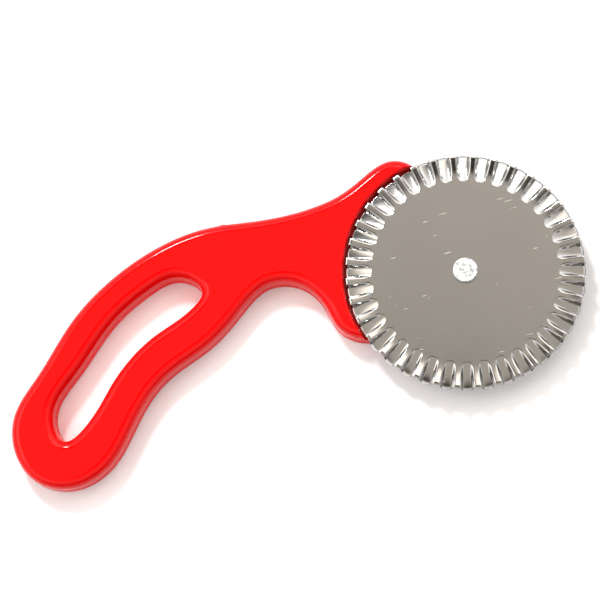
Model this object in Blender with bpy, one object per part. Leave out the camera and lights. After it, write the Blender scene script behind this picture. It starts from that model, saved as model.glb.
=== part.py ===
"""Pastry cutter wheel: a one-piece moulded handle with a long slot, and a fluted steel wheel on a shoulder rivet.

The cutter lies on its flat back. Handle and wheel spread in X and Y, the wheel's axis runs along +Z, and -Y is the
side on which it would stand on its wheel and its butt end. The outline is drawn around the axle, then placed so that
the origin is the middle of the whole cutter at the surface it lies on. Lengths are in metres.
"""

import math

import bmesh
import bpy
import numpy as np

# Where the axle stands, counted from the middle of the cutter
AXLE = (0.05281, -0.0015)

# Handle plate
PLATE_THICKNESS = 0.009
FRONT_ROUND = 0.003
BACK_ROUND = 0.0008
WALL_DRAFT = math.radians(1.5)
FRONT_ROUND_STEPS = 4
BACK_ROUND_STEPS = 2
OUTLINE_STEPS = 4  # points on the curve from one knot to the next
SLOT_STEPS = 5

# Wheel seat in the handle's head, with a low boss around the rivet's bore
SEAT_RADIUS = 0.0359
SEAT_FLOOR = 0.0052
SEAT_LIP = 0.001  # radius of the rounded edge where the seat meets the front face
SEAT_LIP_STEPS = 3
BOSS_RADIUS = 0.0075
BOSS_TOP = 0.0059
BORE_RADIUS = 0.0021
COUNTERBORE_RADIUS = 0.0056
COUNTERBORE_DEPTH = 0.0024

# Wheel: a flat disc whose rim is pressed into flutes, hollows and ridges by turns
SHEET = 0.001
DISC_MIDDLE = 0.008  # height of the middle of the sheet
DISC_RADIUS = 0.0272  # the flat part
RIM_RADIUS = 0.0354
RIM_SCALLOP = 0.0002  # the rim's radius grows by this much in the hollows and shrinks on the ridges
FLUTES = 36
FLUTE_PHASE = math.radians(1.8)  # turns the first ridge away from +X
HOLLOW_DEPTH = 0.0016  # at the rim
HOLLOW_CURVE = 1.35  # the higher, the steeper the inner end and the flatter the rest
HOLLOW_SHARE = 0.56  # of the pitch; the ridges take the rest
HOLLOW_ARCH = 0.0009  # length of the rounded inner end
HOLLOW_WALL = 0.0009  # width of the side walls between hollows and ridges
RIDGE_HEIGHT = 0.0008  # at the rim
RIDGE_START = 0.001  # how far outside the flat disc the ridges begin to rise
EDGE_BEVEL = 0.0007
EDGE_LAND = 0.0004  # thickness left at the very rim
FLUTE_COLUMNS = 8
FLUTE_RINGS = (0, 0.0006, 0.0014, 0.0032, 0.0054)  # how far outside the flat disc each ring of points lies
HOLE_RADIUS = 0.00258

# Shoulder rivet
HEAD_RADIUS = 0.00365
HEAD_THICKNESS = 0.0009
HEAD_EDGE = 0.0003
SHOULDER_RADIUS = 0.0025
SHANK_RADIUS = 0.002
TAIL_RADIUS = 0.0033
TAIL_THICKNESS = 0.0008
TAIL_EDGE = 0.0003

# Washers: the thrust washer lies under the wheel, the rivet washer under the rivet's tail
THRUST_WASHER_RADIUS = 0.0065
THRUST_WASHER_HOLE = 0.0028
WASHER_THICKNESS = 0.0009
RIVET_WASHER_RADIUS = 0.005
RIVET_WASHER_HOLE = 0.0023

GAP = 0.0003  # between pieces that touch
ROUND_SEGMENTS = 48
SEAT_SEGMENTS = 96

# Knots of the handle's outline around the axle, counter-clockwise from the tip of the upper horn
OUTLINE = (
    (-0.0090, 0.0370),
    (-0.0135, 0.0385),
    (-0.0205, 0.0365),
    (-0.0300, 0.0320),
    (-0.0400, 0.0300),
    (-0.0550, 0.0300),
    (-0.0720, 0.0315),
    (-0.0860, 0.0295),
    (-0.1025, 0.0230),
    (-0.1170, 0.0130),
    (-0.1300, -0.0005),
    (-0.1390, -0.0105),
    (-0.1410, -0.0205),
    (-0.1360, -0.0315),
    (-0.1260, -0.0355),
    (-0.1140, -0.0315),
    (-0.1045, -0.0210),
    (-0.0935, -0.0105),
    (-0.0780, -0.0035),
    (-0.0660, 0.0050),
    (-0.0575, 0.0098),
    (-0.0480, 0.0075),
    (-0.0427, 0.0000),
    (-0.0400, -0.0080),
    (-0.0350, -0.0122),
    (-0.0220, -0.0140),
    (-0.0070, -0.0185),
    (0.0110, -0.0160),
    (0.0195, 0.0000),
    (0.0130, 0.0165),
    (0.0000, 0.0240),
)
# Knots of the slot, clockwise, so that the plastic is on the left along both outlines
SLOT = (
    (-0.0820, 0.0180),
    (-0.0772, 0.0125),
    (-0.0805, 0.0090),
    (-0.0940, 0.0030),
    (-0.1085, -0.0075),
    (-0.1187, -0.0180),
    (-0.1260, -0.0210),
    (-0.1277, -0.0155),
    (-0.1187, -0.0030),
    (-0.1045, 0.0100),
    (-0.0915, 0.0170),
)


def clear_scene():
    for obj in list(bpy.data.objects):
        bpy.data.objects.remove(obj)


def material(name, color, roughness, metallic):
    made = bpy.data.materials.new(name)
    made.use_nodes = True
    shader = made.node_tree.nodes["Principled BSDF"]
    shader.inputs["Base Color"].default_value = (*color, 1.0)
    shader.inputs["Roughness"].default_value = roughness
    shader.inputs["Metallic"].default_value = metallic
    return made


def new_object(name, mesh_source, finish, parent):
    """An object of the bmesh, shaded smooth except at its sharp edges, hung on the parent empty."""
    bmesh.ops.recalc_face_normals(mesh_source, faces=mesh_source.faces)
    mesh = bpy.data.meshes.new(name)
    mesh_source.to_mesh(mesh)
    mesh_source.free()
    mesh.shade_smooth()
    mesh.set_sharp_from_angle(angle=math.radians(35))
    obj = bpy.data.objects.new(name, mesh)
    if finish:
        mesh.materials.append(finish)
    obj.parent = parent
    bpy.context.collection.objects.link(obj)
    return obj


def closed_spline(knots, steps):
    """Points of a closed cubic spline with even curvature through the knots."""
    knots = np.array(knots)
    count = len(knots)
    following = np.roll(knots, -1, axis=0)
    lengths = np.linalg.norm(following - knots, axis=1)
    slopes = (following - knots) / lengths[:, None]
    system = np.zeros((count, count))
    for i in range(count):
        system[i, i - 1] += lengths[i - 1]
        system[i, i] += 2 * (lengths[i - 1] + lengths[i])
        system[i, (i + 1) % count] += lengths[i]
    bends = np.linalg.solve(system, 6 * (slopes - np.roll(slopes, 1, axis=0)))
    points = []
    for i in range(count):
        j = (i + 1) % count
        length = lengths[i]
        for step in range(steps):
            after = length * step / steps
            before = length - after
            bend = (bends[i] * before**3 + bends[j] * after**3) / (6 * length)
            start = (knots[i] / length - bends[i] * length / 6) * before
            end = (knots[j] / length - bends[j] * length / 6) * after
            points.append(bend + start + end)
    return np.array(points)


def inset(points, distance):
    """The closed line moved to its left by the distance."""
    along = np.roll(points, -1, axis=0) - np.roll(points, 1, axis=0)
    along /= np.linalg.norm(along, axis=1)[:, None]
    return points + distance * np.column_stack((-along[:, 1], along[:, 0]))


def plate_section():
    """(height, inset) pairs up the handle's edge: back round, drafted wall, front round."""
    wall_top = PLATE_THICKNESS - FRONT_ROUND
    section = []
    for step in range(BACK_ROUND_STEPS + 1):
        angle = math.pi / 2 * step / BACK_ROUND_STEPS
        height = BACK_ROUND * (1 - math.cos(angle))
        draft = -(wall_top - height) * math.tan(WALL_DRAFT)
        section.append((height, BACK_ROUND * (1 - math.sin(angle)) + draft))
    for step in range(FRONT_ROUND_STEPS + 1):
        angle = math.pi / 2 * step / FRONT_ROUND_STEPS
        section.append((wall_top + FRONT_ROUND * math.sin(angle), FRONT_ROUND * (1 - math.cos(angle))))
    return section


def add_ring(mesh, points, height):
    return [mesh.verts.new((x, y, height)) for x, y in points]


def join_rings(mesh, lower, upper):
    count = len(lower)
    for i in range(count):
        j = (i + 1) % count
        mesh.faces.new((lower[i], lower[j], upper[j], upper[i]))


def fill_between(mesh, rings):
    """A flat face between closed rings of vertices that already have their edges."""
    edges = [mesh.edges.get((ring[i - 1], ring[i])) for ring in rings for i in range(len(ring))]
    bmesh.ops.triangle_fill(mesh, use_beauty=True, edges=edges)


def turned(profile, segments):
    """A solid turned around Z from (radius, height) points; it ends on the axis or runs round a closed section."""
    mesh = bmesh.new()
    rings = []
    for radius, height in profile:
        if radius == 0:
            rings.append([mesh.verts.new((0, 0, height))])
            continue
        angles = [2 * math.pi * i / segments for i in range(segments)]
        rings.append(add_ring(mesh, [(radius * math.cos(a), radius * math.sin(a)) for a in angles], height))
    solid = profile[0][0] == 0
    pairs = zip(rings, rings[1:]) if solid else zip(rings, rings[1:] + rings[:1])
    for first, second in pairs:
        for i in range(segments):
            j = (i + 1) % segments
            corners = (first[i % len(first)], first[j % len(first)], second[j % len(second)], second[i % len(second)])
            mesh.faces.new(dict.fromkeys(corners))
    return mesh


def quarter_arc(center_radius, center_height, radius, start, steps):
    """(radius, height) points of a quarter circle that turns counter-clockwise from the start angle."""
    points = []
    for step in range(steps + 1):
        angle = start + math.pi / 2 * step / steps
        points.append((center_radius + radius * math.cos(angle), center_height + radius * math.sin(angle)))
    return points


def seat_profile():
    """Everything that is cut around the axle: counterbore, bore, the seat around its boss, and the rounded lip."""
    above = PLATE_THICKNESS + 0.002
    below = -0.002
    lip = quarter_arc(SEAT_RADIUS + SEAT_LIP, PLATE_THICKNESS - SEAT_LIP, SEAT_LIP, math.pi / 2, SEAT_LIP_STEPS)
    return [
        (0, below),
        (COUNTERBORE_RADIUS, below),
        (COUNTERBORE_RADIUS, COUNTERBORE_DEPTH),
        (BORE_RADIUS, COUNTERBORE_DEPTH),
        (BORE_RADIUS, BOSS_TOP),
        (BOSS_RADIUS, BOSS_TOP),
        (BOSS_RADIUS, SEAT_FLOOR),
        (SEAT_RADIUS, SEAT_FLOOR),
        *reversed(lip),
        (SEAT_RADIUS + SEAT_LIP, above),
        (0, above),
    ]


def make_handle(finish, parent):
    mesh = bmesh.new()
    outlines = (closed_spline(OUTLINE, OUTLINE_STEPS), closed_spline(SLOT, SLOT_STEPS))
    section = plate_section()
    backs = []
    fronts = []
    for outline in outlines:
        rings = [add_ring(mesh, inset(outline, distance), height) for height, distance in section]
        for lower, upper in zip(rings, rings[1:]):
            join_rings(mesh, lower, upper)
        backs.append(rings[0])
        fronts.append(rings[-1])
    fill_between(mesh, backs)
    fill_between(mesh, fronts)
    handle = new_object("handle", mesh, finish, parent)

    cutter = new_object("wheel_seat_cutter", turned(seat_profile(), SEAT_SEGMENTS), None, parent)
    cutter.hide_render = True
    cutter.display_type = "WIRE"
    cut = handle.modifiers.new("wheel_seat", "BOOLEAN")
    cut.operation = "DIFFERENCE"
    cut.object = cutter
    return handle


def smooth(share):
    share = min(max(share, 0), 1)
    return share * share * (3 - 2 * share)


def flute_height(radius, turn):
    """How far the sheet is pressed up or down here; the turn runs from 0 to 1, from one ridge to the next.

    A hollow is a round-ended tongue with parallel walls, steep at its inner end and flat at the rim. The ridges
    between the hollows bend up towards the rim.
    """
    pitch = 2 * math.pi * radius / FLUTES
    half_width = pitch * HOLLOW_SHARE / 2
    across = abs(turn - 0.5) * pitch
    inside = smooth((half_width - across) / HOLLOW_WALL + 0.5)
    arch = HOLLOW_ARCH * (1 - math.sqrt(max(1 - (across / half_width) ** 2, 0)))
    reach = RIM_RADIUS - DISC_RADIUS
    outward = radius - DISC_RADIUS
    along = min(max((outward - arch) / reach, 0), 1)
    hollow = HOLLOW_DEPTH * (1 - (1 - along) ** HOLLOW_CURVE)
    bend = 1.5 * reach
    ridge = RIDGE_HEIGHT * smooth((outward - RIDGE_START) / bend) / smooth((reach - RIDGE_START) / bend)
    return ridge * (1 - inside) - hollow * inside


def make_wheel(finish, parent):
    columns = FLUTES * FLUTE_COLUMNS
    # (radius, thickness) of each ring; the last two make the bevelled edge
    rings = [(DISC_RADIUS + outward, SHEET) for outward in FLUTE_RINGS]
    rings += [(RIM_RADIUS - EDGE_BEVEL, SHEET), (RIM_RADIUS, EDGE_LAND)]
    mesh = bmesh.new()
    ends = []
    for side in (-1, 1):
        made = []
        for radius, thickness in rings:
            ring = []
            scallop = RIM_SCALLOP * smooth((radius - DISC_RADIUS) / (RIM_RADIUS - EDGE_BEVEL - DISC_RADIUS))
            for column in range(columns):
                turn = (column % FLUTE_COLUMNS) / FLUTE_COLUMNS
                angle = 2 * math.pi * column / columns + FLUTE_PHASE
                reach = radius - scallop * math.cos(2 * math.pi * turn)
                height = DISC_MIDDLE + flute_height(radius, turn) + side * thickness / 2
                ring.append(mesh.verts.new((reach * math.cos(angle), reach * math.sin(angle), height)))
            made.append(ring)
        for inner, outer in zip(made, made[1:]):
            join_rings(mesh, inner, outer)
        angles = [2 * math.pi * i / ROUND_SEGMENTS for i in range(ROUND_SEGMENTS)]
        hole_points = [(HOLE_RADIUS * math.cos(a), HOLE_RADIUS * math.sin(a)) for a in angles]
        hole = add_ring(mesh, hole_points, DISC_MIDDLE + side * SHEET / 2)
        for i in range(ROUND_SEGMENTS):
            mesh.edges.new((hole[i - 1], hole[i]))
        fill_between(mesh, (made[0], hole))
        ends.append((hole, made[-1]))
    (back_hole, back_rim), (front_hole, front_rim) = ends
    join_rings(mesh, back_rim, front_rim)
    join_rings(mesh, back_hole, front_hole)
    return new_object("cutting_wheel", mesh, finish, parent)


def make_rivet(finish, parent):
    head_bottom = DISC_MIDDLE + SHEET / 2 + GAP
    head_top = head_bottom + HEAD_THICKNESS
    shoulder_bottom = BOSS_TOP + GAP
    tail_top = COUNTERBORE_DEPTH - 2 * GAP - WASHER_THICKNESS
    tail_bottom = tail_top - TAIL_THICKNESS
    profile = [
        (0, tail_bottom),
        (TAIL_RADIUS - TAIL_EDGE, tail_bottom),
        (TAIL_RADIUS, tail_bottom + TAIL_EDGE),
        (TAIL_RADIUS, tail_top),
        (SHANK_RADIUS, tail_top),
        (SHANK_RADIUS, shoulder_bottom),
        (SHOULDER_RADIUS, shoulder_bottom),
        (SHOULDER_RADIUS, head_bottom),
        (HEAD_RADIUS, head_bottom),
        (HEAD_RADIUS, head_top - HEAD_EDGE),
        (HEAD_RADIUS - HEAD_EDGE, head_top),
        (0, head_top),
    ]
    return new_object("shoulder_rivet", turned(profile, ROUND_SEGMENTS), finish, parent)


def make_washer(name, radius, hole, bottom, finish, parent):
    top = bottom + WASHER_THICKNESS
    profile = [(hole, bottom), (radius, bottom), (radius, top), (hole, top)]
    return new_object(name, turned(profile, ROUND_SEGMENTS), finish, parent)


def main():
    clear_scene()
    axle = bpy.data.objects.new("axle_position", None)
    axle.location = (*AXLE, 0)
    bpy.context.collection.objects.link(axle)

    red_plastic = material("red_plastic", (1.0, 0.006, 0.007), 0.18, 0.0)
    stainless_steel = material("stainless_steel", (0.58, 0.56, 0.53), 0.28, 1.0)
    aluminium = material("aluminium", (0.78, 0.78, 0.77), 0.45, 1.0)
    zinc_steel = material("zinc_steel", (0.62, 0.63, 0.65), 0.35, 1.0)

    make_handle(red_plastic, axle)
    make_wheel(stainless_steel, axle)
    make_rivet(aluminium, axle)
    thrust_bottom = BOSS_TOP + GAP
    make_washer("thrust_washer", THRUST_WASHER_RADIUS, THRUST_WASHER_HOLE, thrust_bottom, zinc_steel, axle)
    rivet_bottom = COUNTERBORE_DEPTH - GAP - WASHER_THICKNESS
    make_washer("rivet_washer", RIVET_WASHER_RADIUS, RIVET_WASHER_HOLE, rivet_bottom, zinc_steel, axle)


main()
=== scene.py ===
"""Pastry cutter wheel: the look of the finished part, built on the frame that its CAD made.

The red handle, the fluted wheel, the rivet and the washers are modelled again with finer curves, and each
gets a procedural material. They keep the sizes of the CAD pieces that they stand for. Lengths are in metres.
"""

import math

import bmesh
import bpy
import numpy as np
from mathutils import Matrix, Vector


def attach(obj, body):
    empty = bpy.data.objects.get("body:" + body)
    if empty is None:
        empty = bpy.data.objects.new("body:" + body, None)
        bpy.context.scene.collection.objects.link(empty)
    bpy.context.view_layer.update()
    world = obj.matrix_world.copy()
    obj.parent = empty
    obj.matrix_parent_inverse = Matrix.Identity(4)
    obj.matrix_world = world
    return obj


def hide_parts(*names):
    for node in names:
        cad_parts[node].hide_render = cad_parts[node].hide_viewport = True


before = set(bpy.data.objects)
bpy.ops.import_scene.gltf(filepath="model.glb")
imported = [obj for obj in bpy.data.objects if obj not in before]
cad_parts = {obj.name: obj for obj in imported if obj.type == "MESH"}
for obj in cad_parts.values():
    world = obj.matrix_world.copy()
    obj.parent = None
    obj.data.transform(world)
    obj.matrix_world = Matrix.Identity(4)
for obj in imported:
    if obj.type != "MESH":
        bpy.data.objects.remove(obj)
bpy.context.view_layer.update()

# Where the axle stands, counted from the middle of the cutter
AXLE = (0.05281, -0.0015)

# Handle plate
PLATE_THICKNESS = 0.009
FRONT_ROUND = 0.003
BACK_ROUND = 0.0008
WALL_DRAFT = math.radians(1.5)
SKIN = 0.0001  # the finer curves stay this far inside the coarser CAD ones
ROUND_STEPS = 12
OUTLINE_STEPS = 16
SLOT_STEPS = 16
PARTING_LINE = 0.00005  # how far the mould's witness line stands out from the wall
PARTING_HEIGHT = 0.0016
GATE = (-0.0665, 0.0313)  # where the mould's gate was cut off, counted from the axle
GATE_WIDTH = 0.0009
GATE_HEIGHT = 0.00028
GATE_TOP = 0.008  # the nub ends at this height of the plate
GATE_FADE = 0.0012

# Wheel seat in the handle's head
SEAT_RADIUS = 0.0359
SEAT_FLOOR = 0.0052
SEAT_LIP = 0.001
SEAT_LIP_STEPS = 8
CUT_MARGIN = 0.002  # how far the cutting shape reaches past both faces of the plate
BOSS_RADIUS = 0.0075
BOSS_TOP = 0.0059
BORE_RADIUS = 0.0021
COUNTERBORE_RADIUS = 0.0056
COUNTERBORE_DEPTH = 0.0024

# Wheel
SHEET = 0.001
DISC_MIDDLE = 0.008
DISC_RADIUS = 0.0272
RIM_RADIUS = 0.0354
RIM_SCALLOP = 0.0002
FLUTES = 36
FLUTE_PHASE = math.radians(1.8)  # turns the first ridge away from +X
HOLLOW_DEPTH = 0.0016  # at the rim
HOLLOW_CURVE = 1.35  # the higher, the steeper the inner end and the flatter the rest
HOLLOW_SHARE = 0.56  # of the pitch; the ridges take the rest
HOLLOW_ARCH = 0.0009  # length of the rounded inner end
HOLLOW_WALL = 0.0009  # width of the side walls between hollows and ridges
RIDGE_HEIGHT = 0.0008  # at the rim
RIDGE_START = 0.001  # how far outside the flat disc the ridges begin to rise
RIDGE_BEND = 1.5  # the ridges end part of the way up a curve this many times as long as the flutes
FLAT_BORDER = 0.0002  # a narrow ring of flat sheet that keeps the disc's shading flat up to the flutes
EDGE_BEVEL = 0.0007
EDGE_LAND = 0.0004
FLUTE_COLUMNS = 24
FLUTE_RINGS = 26
HOLE_RADIUS = 0.00258

# Rivet and washers
HEAD_RADIUS = 0.00365
HEAD_THICKNESS = 0.0009
RIVET_ROUND = 0.00035
RIVET_ROUND_STEPS = 6
SHOULDER_RADIUS = 0.0025
SHANK_RADIUS = 0.002
TAIL_RADIUS = 0.0033
TAIL_THICKNESS = 0.0008
THRUST_WASHER_RADIUS = 0.0065
THRUST_WASHER_HOLE = 0.0028
RIVET_WASHER_RADIUS = 0.005
RIVET_WASHER_HOLE = 0.0023
WASHER_THICKNESS = 0.0009
WASHER_ROUND = 0.00015
WASHER_ROUND_STEPS = 4
GAP = 0.0003
ROUND_SEGMENTS = 96
SEAT_SEGMENTS = 288

# Picture: the camera stands nearly overhead, and the picture's up direction is turned clockwise from +Y
PICTURE_TURN = math.radians(13.2)
PICTURE_UP = (0.22835, 0.97358, 0)
CAMERA_PLACE = (0.00393, -0.10784, 0.51489)
CAMERA_AIM = (0.00356, 0.00189, 0.0066)
CAMERA_LENS = 105.6
SENSOR_WIDTH = 36
FLOOR_HALF_SIDE = 3.0
FLOOR_DROP = 0.0002  # keeps the floor just clear of the handle's back

# Knots of the handle's outline around the axle, counter-clockwise from the tip of the upper horn
OUTLINE = (
    (-0.0090, 0.0370),
    (-0.0135, 0.0385),
    (-0.0205, 0.0365),
    (-0.0300, 0.0320),
    (-0.0400, 0.0300),
    (-0.0550, 0.0300),
    (-0.0720, 0.0315),
    (-0.0860, 0.0295),
    (-0.1025, 0.0230),
    (-0.1170, 0.0130),
    (-0.1300, -0.0005),
    (-0.1390, -0.0105),
    (-0.1410, -0.0205),
    (-0.1360, -0.0315),
    (-0.1260, -0.0355),
    (-0.1140, -0.0315),
    (-0.1045, -0.0210),
    (-0.0935, -0.0105),
    (-0.0780, -0.0035),
    (-0.0660, 0.0050),
    (-0.0575, 0.0098),
    (-0.0480, 0.0075),
    (-0.0427, 0.0000),
    (-0.0400, -0.0080),
    (-0.0350, -0.0122),
    (-0.0220, -0.0140),
    (-0.0070, -0.0185),
    (0.0110, -0.0160),
    (0.0195, 0.0000),
    (0.0130, 0.0165),
    (0.0000, 0.0240),
)
# Knots of the slot, clockwise, so that the plastic is on the left along both outlines
SLOT = (
    (-0.0820, 0.0180),
    (-0.0772, 0.0125),
    (-0.0805, 0.0090),
    (-0.0940, 0.0030),
    (-0.1085, -0.0075),
    (-0.1187, -0.0180),
    (-0.1260, -0.0210),
    (-0.1277, -0.0155),
    (-0.1187, -0.0030),
    (-0.1045, 0.0100),
    (-0.0915, 0.0170),
)


# ---------------------------------------------------------------- mesh helpers


def smooth(share):
    """Runs from 0 to 1 with level ends, and stays there outside them."""
    share = min(max(share, 0), 1)
    return share * share * (3 - 2 * share)


def closed_spline(knots, steps):
    """Points of a closed cubic spline with even curvature through the knots."""
    knots = np.array(knots)
    count = len(knots)
    following = np.roll(knots, -1, axis=0)
    lengths = np.linalg.norm(following - knots, axis=1)
    slopes = (following - knots) / lengths[:, None]
    system = np.zeros((count, count))
    for i in range(count):
        system[i, i - 1] += lengths[i - 1]
        system[i, i] += 2 * (lengths[i - 1] + lengths[i])
        system[i, (i + 1) % count] += lengths[i]
    bends = np.linalg.solve(system, 6 * (slopes - np.roll(slopes, 1, axis=0)))
    points = []
    for i in range(count):
        j = (i + 1) % count
        length = lengths[i]
        for step in range(steps):
            after = length * step / steps
            before = length - after
            bend = (bends[i] * before**3 + bends[j] * after**3) / (6 * length)
            start = (knots[i] / length - bends[i] * length / 6) * before
            end = (knots[j] / length - bends[j] * length / 6) * after
            points.append(bend + start + end)
    return np.array(points)


def inset(points, distance):
    """The closed line moved to its left by the distance."""
    along = np.roll(points, -1, axis=0) - np.roll(points, 1, axis=0)
    along /= np.linalg.norm(along, axis=1)[:, None]
    return points + distance * np.column_stack((-along[:, 1], along[:, 0]))


def add_ring(mesh, points, height):
    return [mesh.verts.new((x, y, height)) for x, y in points]


def join_rings(mesh, lower, upper):
    count = len(lower)
    for i in range(count):
        j = (i + 1) % count
        mesh.faces.new((lower[i], lower[j], upper[j], upper[i]))


def fill_between(mesh, rings):
    """A flat face between closed rings of vertices that already have their edges."""
    edges = [mesh.edges.get((ring[i - 1], ring[i])) for ring in rings for i in range(len(ring))]
    bmesh.ops.triangle_fill(mesh, use_beauty=True, edges=edges)


def circle(radius, segments):
    angles = [2 * math.pi * i / segments for i in range(segments)]
    return [(radius * math.cos(a), radius * math.sin(a)) for a in angles]


def turned(profile, segments):
    """A solid turned around Z from (radius, height) points.

    The points start and end on the axis, or they run round a closed section.
    """
    mesh = bmesh.new()
    rings = []
    for radius, height in profile:
        if radius == 0:
            rings.append([mesh.verts.new((0, 0, height))])
        else:
            rings.append(add_ring(mesh, circle(radius, segments), height))
    solid = profile[0][0] == 0
    pairs = zip(rings, rings[1:]) if solid else zip(rings, rings[1:] + rings[:1])
    for first, second in pairs:
        for i in range(segments):
            j = (i + 1) % segments
            inner = (first[i % len(first)], first[j % len(first)])
            outer = (second[j % len(second)], second[i % len(second)])
            mesh.faces.new(dict.fromkeys(inner + outer))
    return mesh


def arc(center_radius, center_height, radius, start, steps):
    """(radius, height) points of a quarter circle that turns counter-clockwise from the start angle."""
    points = []
    for step in range(steps + 1):
        angle = start + math.pi / 2 * step / steps
        height = center_height + radius * math.sin(angle)
        points.append((center_radius + radius * math.cos(angle), height))
    return points


def finished_mesh(name, mesh_source):
    bmesh.ops.recalc_face_normals(mesh_source, faces=mesh_source.faces)
    mesh = bpy.data.meshes.new(name)
    mesh_source.to_mesh(mesh)
    mesh_source.free()
    return mesh


def shade(mesh, sharp_angle=32):
    """Smooth shading with crisp edges; a round that runs into a flat face takes the flat's own normal."""
    level = 0.99999
    running_in = math.cos(math.radians(20))
    mesh.shade_smooth()
    mesh.set_sharp_from_angle(angle=math.radians(sharp_angle))
    normals = [Vector(corner.vector) for corner in mesh.corner_normals]
    flats = {}
    for face in mesh.polygons:
        if abs(face.normal.z) > level:
            for vertex in face.vertices:
                flats.setdefault(vertex, []).append(face.normal.copy())
    for face in mesh.polygons:
        for index in face.loop_indices:
            for flat in flats.get(mesh.loops[index].vertex_index, ()):
                if flat.dot(face.normal) > running_in:
                    normals[index] = flat
    mesh.normals_split_custom_set(normals)


def place(name, mesh, finish, body, node):
    """An object of the mesh at the axle, riding its body and standing for its CAD node."""
    mesh.materials.clear()
    mesh.materials.append(finish)
    obj = bpy.data.objects.new(name, mesh)
    obj.location = (*AXLE, 0)
    bpy.context.collection.objects.link(obj)
    bpy.context.view_layer.update()
    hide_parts(node)
    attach(obj, body)


# ---------------------------------------------------------------- handle


def plate_section():
    """(height, inset) pairs up the handle's edge: back round, drafted wall with parting line, front round."""
    wall_top = PLATE_THICKNESS - FRONT_ROUND
    steps = ROUND_STEPS // 2
    section = []
    for step in range(steps + 1):
        angle = math.pi / 2 * step / steps
        height = BACK_ROUND * (1 - math.cos(angle))
        draft = -(wall_top - height) * math.tan(WALL_DRAFT)
        section.append((height, BACK_ROUND * (1 - math.sin(angle)) + draft + SKIN))
    draft = -(wall_top - PARTING_HEIGHT) * math.tan(WALL_DRAFT)
    section.append((PARTING_HEIGHT, draft + SKIN - PARTING_LINE))
    section.append((PARTING_HEIGHT + 2 * PARTING_LINE, draft + SKIN))
    for step in range(ROUND_STEPS + 1):
        angle = math.pi / 2 * step / ROUND_STEPS
        height = wall_top + FRONT_ROUND * math.sin(angle)
        section.append((height, FRONT_ROUND * (1 - math.cos(angle)) + SKIN))
    return section


def seat_profile():
    """All that is cut around the axle: counterbore, bore, the seat around its boss, and the rounded lip."""
    above = PLATE_THICKNESS + CUT_MARGIN
    below = -CUT_MARGIN
    lip = arc(SEAT_RADIUS + SEAT_LIP, PLATE_THICKNESS - SEAT_LIP, SEAT_LIP, math.pi / 2, SEAT_LIP_STEPS)
    return [
        (0, below),
        (COUNTERBORE_RADIUS, below),
        (COUNTERBORE_RADIUS, COUNTERBORE_DEPTH),
        (BORE_RADIUS, COUNTERBORE_DEPTH),
        (BORE_RADIUS, BOSS_TOP),
        (BOSS_RADIUS, BOSS_TOP),
        (BOSS_RADIUS, SEAT_FLOOR),
        (SEAT_RADIUS, SEAT_FLOOR),
        *reversed(lip),
        (SEAT_RADIUS + SEAT_LIP, above),
        (0, above),
    ]


def with_gate(points, height):
    """The outline at this height, with the small nub that the cut-off gate left on the wall."""
    away = np.linalg.norm(points - np.array(GATE), axis=1) / GATE_WIDTH
    fade = smooth((GATE_TOP - height) / GATE_FADE)
    nub = GATE_HEIGHT * fade * np.exp(-(away**4))
    along = np.roll(points, -1, axis=0) - np.roll(points, 1, axis=0)
    along /= np.linalg.norm(along, axis=1)[:, None]
    return points + nub[:, None] * np.column_stack((along[:, 1], -along[:, 0]))


def make_handle(finish):
    plate = bmesh.new()
    backs = []
    fronts = []
    for outline in (closed_spline(OUTLINE, OUTLINE_STEPS), closed_spline(SLOT, SLOT_STEPS)):
        rings = []
        for height, distance in plate_section():
            points = inset(with_gate(outline, height), distance)
            rings.append(add_ring(plate, points, height))
        for lower, upper in zip(rings, rings[1:]):
            join_rings(plate, lower, upper)
        backs.append(rings[0])
        fronts.append(rings[-1])
    fill_between(plate, backs)
    fill_between(plate, fronts)
    blank = bpy.data.objects.new("handle_blank", finished_mesh("handle_blank", plate))
    cutter_mesh = finished_mesh("seat_cutter", turned(seat_profile(), SEAT_SEGMENTS))
    cutter = bpy.data.objects.new("seat_cutter", cutter_mesh)
    for helper in (blank, cutter):
        bpy.context.collection.objects.link(helper)
    cut = blank.modifiers.new("seat", "BOOLEAN")
    cut.operation = "DIFFERENCE"
    cut.object = cutter
    graph = bpy.context.evaluated_depsgraph_get()
    mesh = bpy.data.meshes.new_from_object(blank.evaluated_get(graph))
    mesh.name = "handle_body"
    for helper in (blank, cutter):
        bpy.data.objects.remove(helper)
    shade(mesh)
    place("handle_body", mesh, finish, "handle", "handle")


# ---------------------------------------------------------------- wheel


def flute_height(radius, turn):
    """How far the sheet is pressed up or down here; the turn runs from 0 to 1, from one ridge to the next.

    A hollow is a round-ended tongue with parallel walls, steep at its inner end and flat at the rim. The
    ridges between the hollows bend up towards the rim.
    """
    pitch = 2 * math.pi * radius / FLUTES
    half_width = pitch * HOLLOW_SHARE / 2
    across = abs(turn - 0.5) * pitch
    inside = smooth((half_width - across) / HOLLOW_WALL + 0.5)
    arch = HOLLOW_ARCH * (1 - math.sqrt(max(1 - (across / half_width) ** 2, 0)))
    reach = RIM_RADIUS - DISC_RADIUS
    outward = radius - DISC_RADIUS
    along = min(max((outward - arch) / reach, 0), 1)
    hollow = HOLLOW_DEPTH * (1 - (1 - along) ** HOLLOW_CURVE)
    bend = RIDGE_BEND * reach
    risen = smooth((outward - RIDGE_START) / bend)
    ridge = RIDGE_HEIGHT * risen / smooth((reach - RIDGE_START) / bend)
    return ridge * (1 - inside) - hollow * inside


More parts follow.
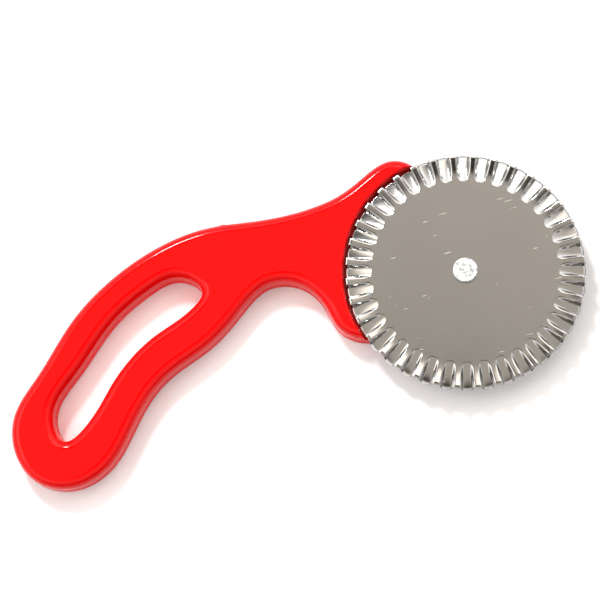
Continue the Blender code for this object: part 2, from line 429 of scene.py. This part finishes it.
def make_wheel(finish):
    columns = FLUTES * FLUTE_COLUMNS
    bevel_start = RIM_RADIUS - EDGE_BEVEL
    flute_length = bevel_start - DISC_RADIUS
    rings = [(DISC_RADIUS - FLAT_BORDER, SHEET)]
    for i in range(FLUTE_RINGS + 1):
        rings.append((DISC_RADIUS + flute_length * i / FLUTE_RINGS, SHEET))
    rings.append((RIM_RADIUS - SKIN, EDGE_LAND))
    sheet = bmesh.new()
    ends = []
    for side in (-1, 1):
        made = []
        for radius, thickness in rings:
            ring = []
            scallop = RIM_SCALLOP * smooth((radius - DISC_RADIUS) / flute_length)
            for column in range(columns):
                turn = (column % FLUTE_COLUMNS) / FLUTE_COLUMNS
                angle = 2 * math.pi * column / columns + FLUTE_PHASE
                out = radius - scallop * math.cos(2 * math.pi * turn)
                height = DISC_MIDDLE + flute_height(radius, turn) + side * thickness / 2
                ring.append(sheet.verts.new((out * math.cos(angle), out * math.sin(angle), height)))
            made.append(ring)
        for inner, outer in zip(made, made[1:]):
            join_rings(sheet, inner, outer)
        hole = add_ring(sheet, circle(HOLE_RADIUS, ROUND_SEGMENTS), DISC_MIDDLE + side * SHEET / 2)
        for i in range(ROUND_SEGMENTS):
            sheet.edges.new((hole[i - 1], hole[i]))
        fill_between(sheet, (made[0], hole))
        ends.append((hole, made[-1]))
    (back_hole, back_rim), (front_hole, front_rim) = ends
    join_rings(sheet, back_rim, front_rim)
    join_rings(sheet, back_hole, front_hole)
    mesh = finished_mesh("fluted_wheel", sheet)
    shade(mesh, 40)
    place("fluted_wheel", mesh, finish, "wheel", "cutting_wheel")


# ---------------------------------------------------------------- rivet and washers


def make_rivet(finish):
    head_bottom = DISC_MIDDLE + SHEET / 2 + GAP
    head_top = head_bottom + HEAD_THICKNESS
    shoulder_bottom = BOSS_TOP + GAP
    tail_top = COUNTERBORE_DEPTH - 2 * GAP - WASHER_THICKNESS
    tail_bottom = tail_top - TAIL_THICKNESS
    edge = RIVET_ROUND
    steps = RIVET_ROUND_STEPS
    tail_edge = arc(TAIL_RADIUS - edge, tail_bottom + edge, edge, -math.pi / 2, steps)
    head_edge = arc(HEAD_RADIUS - edge, head_top - edge, edge, 0, steps)
    profile = [
        (0, tail_bottom),
        (TAIL_RADIUS * 0.5, tail_bottom),
        *tail_edge,
        (TAIL_RADIUS, tail_top),
        (SHANK_RADIUS, tail_top),
        (SHANK_RADIUS, shoulder_bottom),
        (SHOULDER_RADIUS, shoulder_bottom),
        (SHOULDER_RADIUS, head_bottom),
        (HEAD_RADIUS, head_bottom),
        *head_edge,
        (HEAD_RADIUS * 0.5, head_top),
        (0, head_top),
    ]
    mesh = finished_mesh("axle_rivet", turned(profile, ROUND_SEGMENTS))
    shade(mesh)
    place("axle_rivet", mesh, finish, "handle", "shoulder_rivet")


def make_washer(name, node, radius, hole, bottom, finish):
    """A stamped washer: three rounded edges, and a crisp one where the hole's punch came out."""
    top = bottom + WASHER_THICKNESS
    edge = WASHER_ROUND
    steps = WASHER_ROUND_STEPS
    profile = [
        (hole, bottom),
        *arc(radius - edge, bottom + edge, edge, -math.pi / 2, steps),
        *arc(radius - edge, top - edge, edge, 0, steps),
        *arc(hole + edge, top - edge, edge, math.pi / 2, steps),
    ]
    mesh = finished_mesh(name, turned(profile, ROUND_SEGMENTS))
    shade(mesh)
    place(name, mesh, finish, "handle", node)


def make_washers(finish):
    bottom = BOSS_TOP + GAP
    radii = (THRUST_WASHER_RADIUS, THRUST_WASHER_HOLE)
    make_washer("wheel_washer", "thrust_washer", *radii, bottom, finish)
    bottom = COUNTERBORE_DEPTH - GAP - WASHER_THICKNESS
    radii = (RIVET_WASHER_RADIUS, RIVET_WASHER_HOLE)
    make_washer("back_washer", "rivet_washer", *radii, bottom, finish)


# ---------------------------------------------------------------- materials


class Nodes:
    """Short names for the node-tree calls that every material here makes."""

    def __init__(self, name):
        self.material = bpy.data.materials.new(name)
        self.material.use_nodes = True
        self.tree = self.material.node_tree
        self.shader = self.tree.nodes["Principled BSDF"]
        self.place = self.tree.nodes.new("ShaderNodeTexCoord").outputs["Object"]

    def link(self, source, target):
        self.tree.links.new(source, target)

    def mapped(self, scale, rotation=(0, 0, 0)):
        node = self.tree.nodes.new("ShaderNodeMapping")
        node.inputs["Scale"].default_value = scale
        node.inputs["Rotation"].default_value = rotation
        self.link(self.place, node.inputs["Vector"])
        return node.outputs["Vector"]

    def noise(self, scale, detail=2.0, roughness=0.5, vector=None, distortion=0.0):
        node = self.tree.nodes.new("ShaderNodeTexNoise")
        node.inputs["Scale"].default_value = scale
        node.inputs["Detail"].default_value = detail
        node.inputs["Roughness"].default_value = roughness
        node.inputs["Distortion"].default_value = distortion
        self.link(vector or self.place, node.inputs["Vector"])
        return node.outputs["Fac"]

    def ramp(self, factor, stops):
        """A colour ramp from (position, colour) stops; a number stands for a grey."""
        node = self.tree.nodes.new("ShaderNodeValToRGB")
        elements = node.color_ramp.elements
        while len(elements) < len(stops):
            elements.new(0.5)
        for element, (position, color) in zip(elements, stops):
            element.position = position
            color = (color,) * 3 if isinstance(color, (int, float)) else color
            element.color = (*color, 1.0)
        self.link(factor, node.inputs["Fac"])
        return node.outputs["Color"]

    def mix(self, factor, first, second):
        """A blend of two colours; each of the three is a number, a colour or another node's output."""
        node = self.tree.nodes.new("ShaderNodeMix")
        node.data_type = "RGBA"
        sockets = (node.inputs[0], node.inputs[6], node.inputs[7])
        for socket, value in zip(sockets, (factor, first, second)):
            if isinstance(value, (int, float)):
                socket.default_value = value
            elif isinstance(value, tuple):
                socket.default_value = (*value, 1.0)
            else:
                self.link(value, socket)
        return node.outputs[2]

    def bump(self, height, distance, strength=1.0, under=None):
        node = self.tree.nodes.new("ShaderNodeBump")
        node.inputs["Distance"].default_value = distance
        node.inputs["Strength"].default_value = strength
        self.link(height, node.inputs["Height"])
        if under:
            self.link(under, node.inputs["Normal"])
        return node.outputs["Normal"]


def red_plastic():
    """Glossy moulded plastic: an even red, a faint waviness of the moulded skin, and hairline scuffs."""
    n = Nodes("red_plastic")
    cloud = n.noise(45, 3)
    red = n.ramp(cloud, ((0.35, (0.67, 0.0006, 0.0009)), (0.65, (0.71, 0.0009, 0.0012))))
    n.link(red, n.shader.inputs["Base Color"])
    scuffs = n.noise(80, 3, 0.6, n.mapped((14, 1, 1), (0, 0, 0.6)))
    n.link(n.ramp(scuffs, ((0.45, 0.10), (0.62, 0.12), (0.74, 0.18))), n.shader.inputs["Roughness"])
    skin = n.bump(n.noise(220, 2), 0.000012)
    n.link(n.bump(scuffs, 0.0000015, under=skin), n.shader.inputs["Normal"])
    n.shader.inputs["Specular IOR Level"].default_value = 0.2
    n.shader.inputs["Sheen Weight"].default_value = 0.08
    n.shader.inputs["Sheen Roughness"].default_value = 0.35
    return n.material


def stainless_steel():
    """Satin sheet: fine rolling lines, a cloudy sheen and a few short scratches that catch the light."""
    n = Nodes("stainless_steel")
    rolled = n.noise(90, 4, 0.6, n.mapped((1, 26, 1), (0, 0, 0.35)))
    cloud = n.noise(70, 3)
    scratch = n.noise(640, 1, 0.4, n.mapped((0.35, 2.6, 1), (0, 0, -0.55)))
    marks = n.ramp(scratch, ((0.765, 0.0), (0.80, 0.6)))
    base = n.ramp(cloud, ((0.3, (0.425, 0.42, 0.412)), (0.7, (0.445, 0.44, 0.432))))
    n.link(n.mix(marks, base, (0.95, 0.94, 0.90)), n.shader.inputs["Base Color"])
    gloss = n.ramp(rolled, ((0.3, 0.12), (0.7, 0.18)))
    n.link(n.mix(marks, gloss, (0.5, 0.5, 0.5)), n.shader.inputs["Roughness"])
    lines = n.bump(rolled, 0.000002)
    n.link(n.bump(cloud, 0.00001, 0.5, under=lines), n.shader.inputs["Normal"])
    n.shader.inputs["Metallic"].default_value = 1.0
    return n.material


def dull_aluminium():
    """A hammered rivet head: blotchy, pitted and nearly white where it is rough."""
    n = Nodes("dull_aluminium")
    blotches = n.noise(900, 4, 0.62, distortion=0.6)
    dents = n.noise(520, 2)
    stops = ((0.38, (0.34, 0.37, 0.37)), (0.47, (0.62, 0.65, 0.65)), (0.53, (0.80, 0.81, 0.81)))
    n.link(n.ramp(blotches, stops), n.shader.inputs["Base Color"])
    n.link(n.ramp(blotches, ((0.35, 0.32), (0.6, 0.62))), n.shader.inputs["Roughness"])
    pits = n.bump(blotches, 0.00008, 0.7)
    n.link(n.bump(dents, 0.00016, 0.8, under=pits), n.shader.inputs["Normal"])
    n.shader.inputs["Metallic"].default_value = 0.75
    return n.material


def zinc_steel():
    """Plated washers: bluish grey with a fine crystalline mottle."""
    n = Nodes("zinc_steel")
    grain = n.tree.nodes.new("ShaderNodeTexVoronoi")
    grain.inputs["Scale"].default_value = 1400
    n.link(n.place, grain.inputs["Vector"])
    color = n.ramp(grain.outputs["Distance"], ((0.1, (0.52, 0.54, 0.57)), (0.7, (0.68, 0.70, 0.73))))
    n.link(color, n.shader.inputs["Base Color"])
    n.link(n.ramp(n.noise(500, 3), ((0.3, 0.28), (0.7, 0.42))), n.shader.inputs["Roughness"])
    n.link(n.bump(n.noise(1800, 2), 0.00001), n.shader.inputs["Normal"])
    n.shader.inputs["Metallic"].default_value = 1.0
    return n.material


def floor_paper():
    """Plain white paper with a hardly visible tone and grain."""
    n = Nodes("floor_paper")
    tone = n.noise(9, 3)
    color = n.ramp(tone, ((0.3, (0.92, 0.92, 0.935)), (0.7, (0.93, 0.93, 0.945))))
    n.link(color, n.shader.inputs["Base Color"])
    n.link(n.bump(n.noise(700, 3), 0.00002), n.shader.inputs["Normal"])
    n.shader.inputs["Roughness"].default_value = 0.85
    n.shader.inputs["Specular IOR Level"].default_value = 0.1
    return n.material


# ---------------------------------------------------------------- studio


def make_floor():
    side = FLOOR_HALF_SIDE
    plane = bmesh.new()
    corners = [(-side, -side), (side, -side), (side, side), (-side, side)]
    plane.faces.new(add_ring(plane, corners, -FLOOR_DROP))
    mesh = finished_mesh("studio_floor", plane)
    if mesh.polygons[0].normal.z < 0:
        mesh.flip_normals()
    mesh.materials.append(floor_paper())
    floor = bpy.data.objects.new("studio_floor", mesh)
    bpy.context.collection.objects.link(floor)


def make_lamp(name, azimuth, from_zenith, distance, side, power):
    """A square soft box that faces the cutter; the azimuth is counted from +X, both angles in degrees."""
    data = bpy.data.lights.new(name, "AREA")
    data.shape = "RECTANGLE"
    data.size = side
    data.size_y = side
    data.energy = power
    turn = math.radians(azimuth)
    tilt = math.radians(from_zenith)
    aim = Vector((math.sin(tilt) * math.cos(turn), math.sin(tilt) * math.sin(turn), math.cos(tilt)))
    lamp = bpy.data.objects.new(name, data)
    lamp.location = aim * distance
    lamp.rotation_euler = aim.to_track_quat("Z", "Y").to_euler()
    bpy.context.collection.objects.link(lamp)


def sky(right, up):
    """The direction this many degrees to the picture's right and up from straight overhead."""
    angle = math.radians(math.hypot(right, up))
    turn = math.atan2(up, right) - PICTURE_TURN
    return math.sin(angle) * math.cos(turn), math.sin(angle) * math.sin(turn), math.cos(angle)


def make_surroundings():
    """A soft bright room around the cutter, which the steel mirrors."""
    world = bpy.data.worlds.new("soft_room")
    world.use_nodes = True
    tree = world.node_tree
    coordinates = tree.nodes.new("ShaderNodeTexCoord")
    background = tree.nodes["Background"]

    def toward(direction, outer, inner, outside, inside):
        """A value that changes smoothly between two angles, in degrees, around the direction."""
        dot = tree.nodes.new("ShaderNodeVectorMath")
        dot.operation = "DOT_PRODUCT"
        dot.inputs[1].default_value = direction
        tree.links.new(coordinates.outputs["Generated"], dot.inputs[0])
        spread = tree.nodes.new("ShaderNodeMapRange")
        spread.interpolation_type = "SMOOTHSTEP"
        spread.inputs["From Min"].default_value = math.cos(math.radians(outer))
        spread.inputs["From Max"].default_value = math.cos(math.radians(inner))
        spread.inputs["To Min"].default_value = outside
        spread.inputs["To Max"].default_value = inside
        tree.links.new(dot.outputs["Value"], spread.inputs["Value"])
        return spread.outputs["Result"]

    def combined(operation, values):
        """One value from all of them, by the same operation from the first to the last."""
        total = values[0]
        for value in values[1:]:
            node = tree.nodes.new("ShaderNodeMath")
            node.operation = operation
            tree.links.new(total, node.inputs[0])
            tree.links.new(value, node.inputs[1])
            total = node.outputs["Value"]
        return total

    # Each line below is one part of the room: where it is, the two angles between which it fades, and how
    # strong the light is outside and inside them. The window and the doorway outshine the other parts, which
    # multiply one another.
    overhead = sky(0, 0)
    ceiling_edge = (43, 34)
    ceiling = toward(overhead, *ceiling_edge, 2.0, 0.79)
    walls = toward(overhead, 74, 52, 0.35, 1.0)
    skirting = toward(overhead, 90, 80, 2.2, 1.0)
    head = toward(sky(0, -1), 11, 7, 1.0, 0.03)
    hand = toward(sky(9, 0), 8, 4, 1.0, 0.4)
    arm = toward(sky(-15, 27), 14, 9, 1.0, 0.12)
    right_side = toward(sky(90, -30), 70, 40, 1.0, 0.5)
    near_side = toward(sky(10, -90), 55, 35, 1.0, 0.35)
    room = combined("MULTIPLY", (ceiling, walls, skirting, head, hand, arm, right_side, near_side))
    window = toward(sky(12, 33), 17, 11, 0.0, 3.2)
    doorway = toward(sky(-40, 8), 22, 11, 0.0, 3.2)
    brightest = combined("MAXIMUM", (room, window, doorway))
    tree.links.new(brightest, background.inputs["Strength"])
    # The ceiling is a little warmer than the rest
    tint = tree.nodes.new("ShaderNodeMix")
    tint.data_type = "RGBA"
    tree.links.new(toward(overhead, *ceiling_edge, 0.0, 1.0), tint.inputs[0])
    tint.inputs[6].default_value = (1.0, 1.0, 1.0, 1.0)
    tint.inputs[7].default_value = (1.0, 0.91, 0.80, 1.0)
    tree.links.new(tint.outputs[2], background.inputs["Color"])
    bpy.context.scene.world = world


def make_camera():
    data = bpy.data.cameras.new("camera")
    data.lens = CAMERA_LENS
    data.sensor_width = SENSOR_WIDTH
    data.clip_start = 0.01
    camera = bpy.data.objects.new("camera", data)
    location = Vector(CAMERA_PLACE)
    back = (location - Vector(CAMERA_AIM)).normalized()
    right = Vector(PICTURE_UP).cross(back).normalized()
    up = back.cross(right)
    turn = Matrix((right, up, back)).transposed()
    camera.matrix_world = Matrix.Translation(location) @ turn.to_4x4()
    bpy.context.collection.objects.link(camera)
    bpy.context.scene.camera = camera


def main():
    bpy.context.scene.view_settings.view_transform = "Standard"
    make_handle(red_plastic())
    make_wheel(stainless_steel())
    make_rivet(dull_aluminium())
    make_washers(zinc_steel())
    make_floor()
    make_surroundings()
    make_lamp("key_lamp", azimuth=103, from_zenith=44, distance=0.9, side=0.13, power=5.0)
    make_camera()


main()
